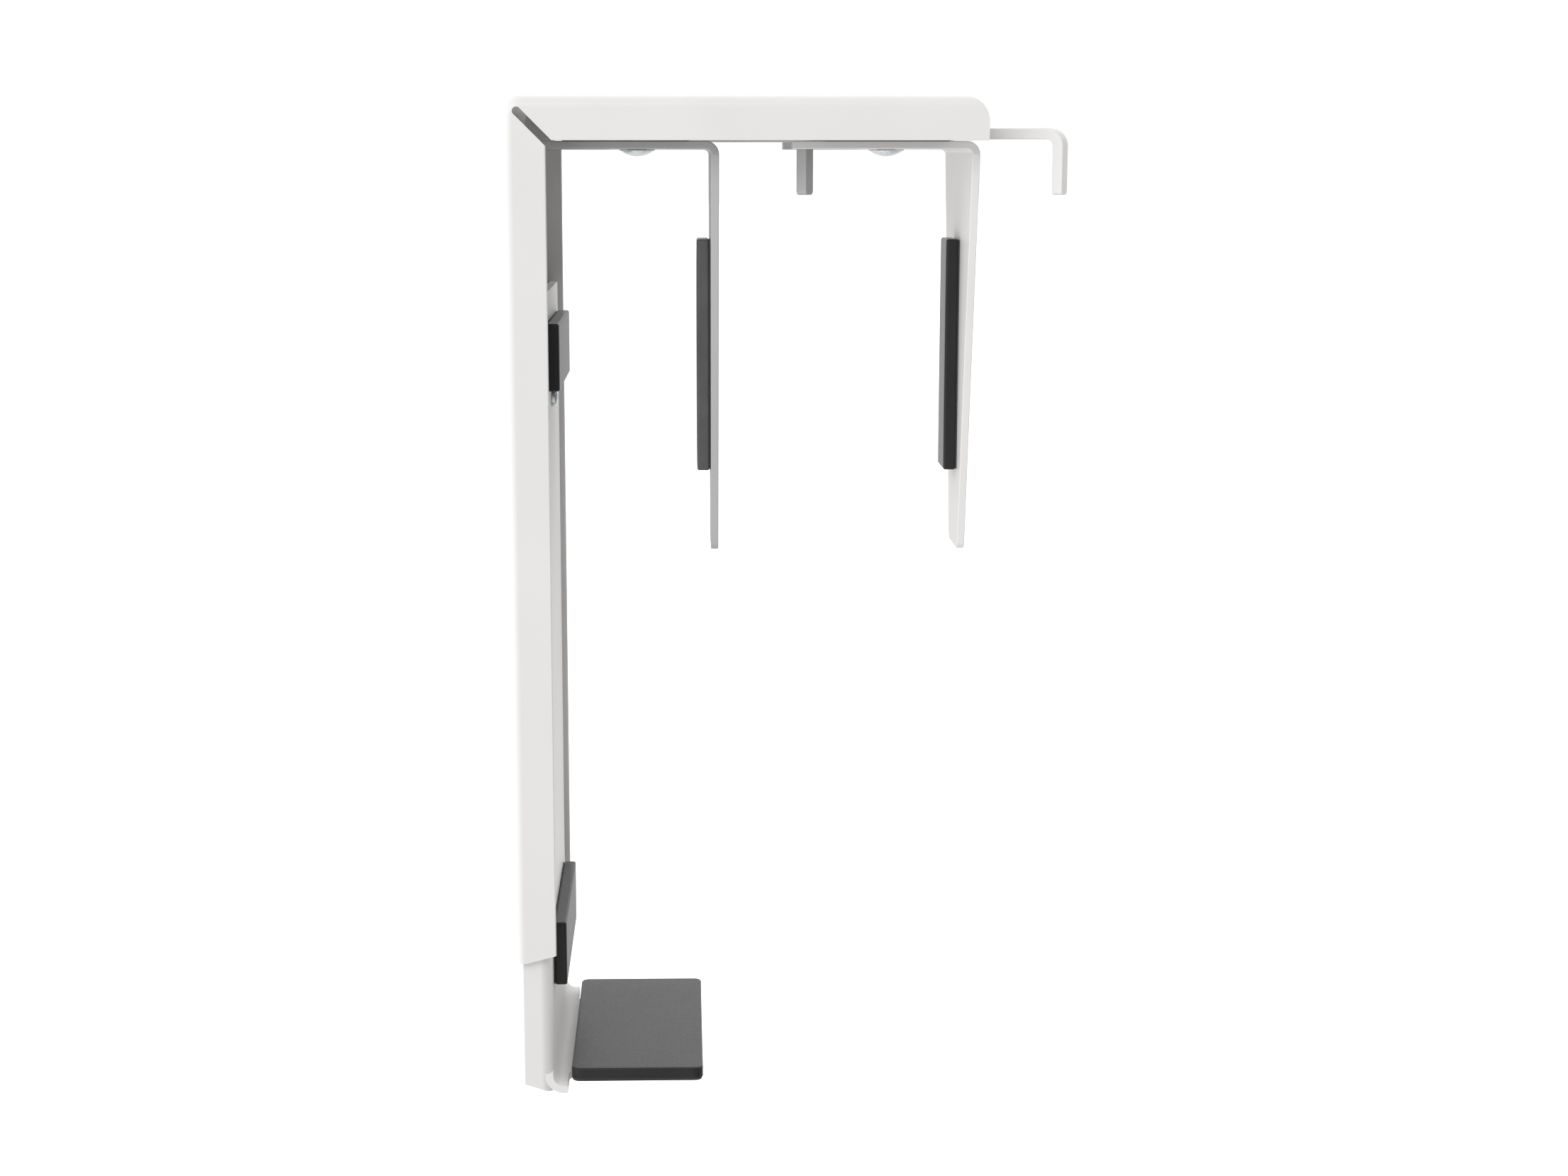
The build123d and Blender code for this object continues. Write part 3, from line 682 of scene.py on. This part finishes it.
def make_clamp_bolt(number):
    """Domed bolt of one clamp: head, shoulder, square neck and thread."""
    node = f"lever_{number}_bolt"
    low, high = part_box(node)
    finish = finishes["zinc_plate"]
    middle = Vector(((low.x + high.x) / 2, (low.y + high.y) / 2, 0))
    neck_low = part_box(f"clamp_{number}_washer")[1].z + BOLT_CHAMFER
    neck_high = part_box(f"lever_{number}_bar")[1].z
    head_top = low.z + BOLT_HEAD_HEIGHT
    radius = dome_radius(BOLT_HEAD_RADIUS, BOLT_HEAD_HEIGHT)
    rim_angle = math.degrees(math.asin(BOLT_HEAD_RADIUS / radius)) - BOLT_RIM_ANGLE
    dome = arc(0, low.z + radius, radius, -90, -90 + rim_angle, 24)
    outline = dome + [
        (BOLT_HEAD_RADIUS, head_top - BOLT_RIM_HEIGHT), (BOLT_HEAD_RADIUS - BOLT_RIM_INSET, head_top),
        (BOLT_SHOULDER_RADIUS, head_top), (BOLT_SHOULDER_RADIUS, neck_low - BOLT_CHAMFER),
        (BOLT_SHOULDER_RADIUS - BOLT_CHAMFER, neck_low), (0, neck_low),
    ]
    head = turned("bolt_head", outline, finish, steps=LARGE_TURN_STEPS)
    neck = bar_between("bolt_neck", BOLT_SQUARE_HALF, neck_low, neck_high, BOLT_SQUARE_EDGE, finish)
    moved(neck, Matrix.Rotation(lever_angle(number), 4, "Z"))
    rod = thread("bolt_thread", BOLT_THREAD_RADIUS, BOLT_PITCH, neck_high, high.z, finish, steps=48)
    bolt = joined(f"lever_{number}_domed_bolt", [head, neck, rod], finish)
    moved(bolt, Matrix.Translation(middle))
    sharpened(bolt)
    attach(bolt, f"lever_{number}")
    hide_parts(node)


def lever_angle(number):
    """Angle of a lever's bar about its bolt, from where its grip is."""
    low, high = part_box(f"lever_{number}_bolt")
    middle_x, middle_y = (low.x + high.x) / 2, (low.y + high.y) / 2
    bar = frame["nodes"][f"lever_{number}_bar"]
    lowest = min(vertex.co.z for vertex in bar.data.vertices)
    tip = [vertex.co for vertex in bar.data.vertices if vertex.co.z < lowest + MM]
    tip_x, tip_y = sum(co.x for co in tip) / len(tip), sum(co.y for co in tip) / len(tip)
    return math.atan2(tip_y - middle_y, tip_x - middle_x)


def facing_x(low_x, place_y, place_z):
    """Matrix that turns the Z axis to +X and sets zero at a place."""
    return Matrix.Translation((low_x, place_y, place_z)) @ Matrix.Rotation(math.radians(90), 4, "Y")


def make_height_lock():
    """Button-head screw with a hexagon socket."""
    finish = finishes["zinc_plate"]
    low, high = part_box("height_lock_screw")
    place_y, place_z = (low.y + high.y) / 2, (low.z + high.z) / 2
    top = high.x - low.x
    seat = top - LOCK_HEAD_HEIGHT
    crown = arc(LOCK_HEAD_RADIUS - LOCK_CROWN_RADIUS, top - LOCK_CROWN_RADIUS, LOCK_CROWN_RADIUS, 0, 90, 8)
    outline = [(0, seat), (LOCK_HEAD_RADIUS - LOCK_CHAMFER, seat), (LOCK_HEAD_RADIUS, seat + LOCK_CHAMFER)]
    outline += crown + [(0, top)]
    head = turned("lock_head", outline, finish)
    recess = hex_recess("lock_recess", LOCK_SOCKET_ACROSS,
                        top - LOCK_SOCKET_DEPTH, top + CUT_OVERSHOOT, finish)
    cut_or_join(head, recess, "DIFFERENCE")
    rod = thread("lock_thread", LOCK_SHANK_RADIUS, LOCK_PITCH, 0, seat, finish)
    screw = joined("height_lock_button_screw", [head, rod], finish)
    moved(screw, facing_x(low.x, place_y, place_z))
    sharpened(screw)
    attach(screw, "height_slider")
    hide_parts("height_lock_screw")


# ---- Camera, floor and light

def make_floor():
    """Plain pale floor below the holder."""
    half = FLOOR_SIZE / 2
    corners = [(-half, -half, FLOOR_Z), (half, -half, FLOOR_Z), (half, half, FLOOR_Z), (-half, half, FLOOR_Z)]
    material, tree, shader, place = new_material("pale_floor")
    cloudy = noise(tree, place, 2.0)
    tree.links.new(between(tree, cloudy, FLOOR_PALE, FLOOR_PALEST), shader.inputs["Base Color"])
    shader.inputs["Roughness"].default_value = 0.9
    shader.inputs["Emission Color"].default_value = (1.0, 1.0, 1.0, 1.0)
    shader.inputs["Emission Strength"].default_value = FLOOR_GLOW
    floor = piece_from("floor", corners, [(0, 1, 2, 3)], material, smooth=False)
    floor.visible_diffuse = False
    floor.visible_glossy = False


def add_softbox(name, place, target, size, power):
    """Square area light that looks at a point."""
    light = bpy.data.lights.new(name, "AREA")
    light.shape = "RECTANGLE"
    light.size, light.size_y = size
    light.energy = power
    lamp = bpy.data.objects.new(name, light)
    lamp.location = place
    lamp.rotation_euler = (Vector(target) - Vector(place)).to_track_quat("-Z", "Y").to_euler()
    bpy.context.scene.collection.objects.link(lamp)


def towards(tree, direction, heading):
    """How far a direction agrees with a heading."""
    node = tree.nodes.new("ShaderNodeVectorMath")
    node.operation = "DOT_PRODUCT"
    node.inputs[1].default_value = Vector(heading).normalized()
    tree.links.new(direction, node.inputs[0])
    return node.outputs["Value"]


def combined(tree, operation, values):
    """Several values brought together by one operation."""
    result = values[0]
    for value in values[1:]:
        node = tree.nodes.new("ShaderNodeMath")
        node.operation = operation
        tree.links.new(result, node.inputs[0])
        tree.links.new(value, node.inputs[1])
        result = node.outputs["Value"]
    return result


def glow(tree, direction, part, dark=0.0):
    """Strength of one bright part of the room in a direction."""
    heading, start, end, bright = part
    return spread(tree, towards(tree, direction, heading), start, end, dark, bright)


def light_room():
    """Room with a bright wall behind, a pale ceiling and sides, and a fill from the lower left."""
    world = bpy.data.worlds.new("studio")
    bpy.context.scene.world = world
    world.use_nodes = True
    tree = world.node_tree
    background = tree.nodes["Background"]
    direction = tree.nodes.new("ShaderNodeTexCoord").outputs["Generated"]
    wall = glow(tree, direction, WALL, ROOM_DARK)
    left, right, fill, ceiling = [glow(tree, direction, part) for part in (LEFT, RIGHT, FILL, CEILING)]
    sides = combined(tree, "MAXIMUM", [wall, left, right])
    tree.links.new(combined(tree, "ADD", [sides, fill, ceiling]), background.inputs["Strength"])
    background.inputs["Color"].default_value = (1.0, 1.0, 1.0, 1.0)
    add_softbox("key_softbox", KEY_PLACE, LIGHT_TARGET, KEY_SIZE, KEY_POWER)


def place_camera():
    """Camera in front of the beam, about level with it and looking slightly down."""
    camera = bpy.data.cameras.new("camera")
    camera.lens = CAMERA_LENS
    camera.sensor_width = CAMERA_SENSOR
    camera.shift_x = CAMERA_SHIFT_X
    camera.clip_start = CAMERA_NEAR
    viewer = bpy.data.objects.new("camera", camera)
    viewer.location = CAMERA_PLACE
    viewer.rotation_euler = (math.radians(CAMERA_PITCH), 0, math.radians(CAMERA_YAW))
    bpy.context.scene.collection.objects.link(viewer)
    bpy.context.scene.camera = viewer


bpy.context.scene.view_settings.view_transform = "Standard"
place_camera()
light_room()
make_floor()
finish_cad_nodes()
make_pad("upper_column_pad", "height_slider", ALONG_X, 1)
make_pad("lower_column_pad", "height_slider", ALONG_X, 1)
make_pad("foot_pad", "height_slider", ALONG_Z, 1, corner=FOOT_PAD_CORNER)
for clamp in (1, 2):
    make_pad(f"clamp_{clamp}_pad", f"clamp_{clamp}", ALONG_X, -1)
    make_shoe_screws(clamp)
    make_clamp_bolt(clamp)
make_rail_rivets()
make_height_lock()
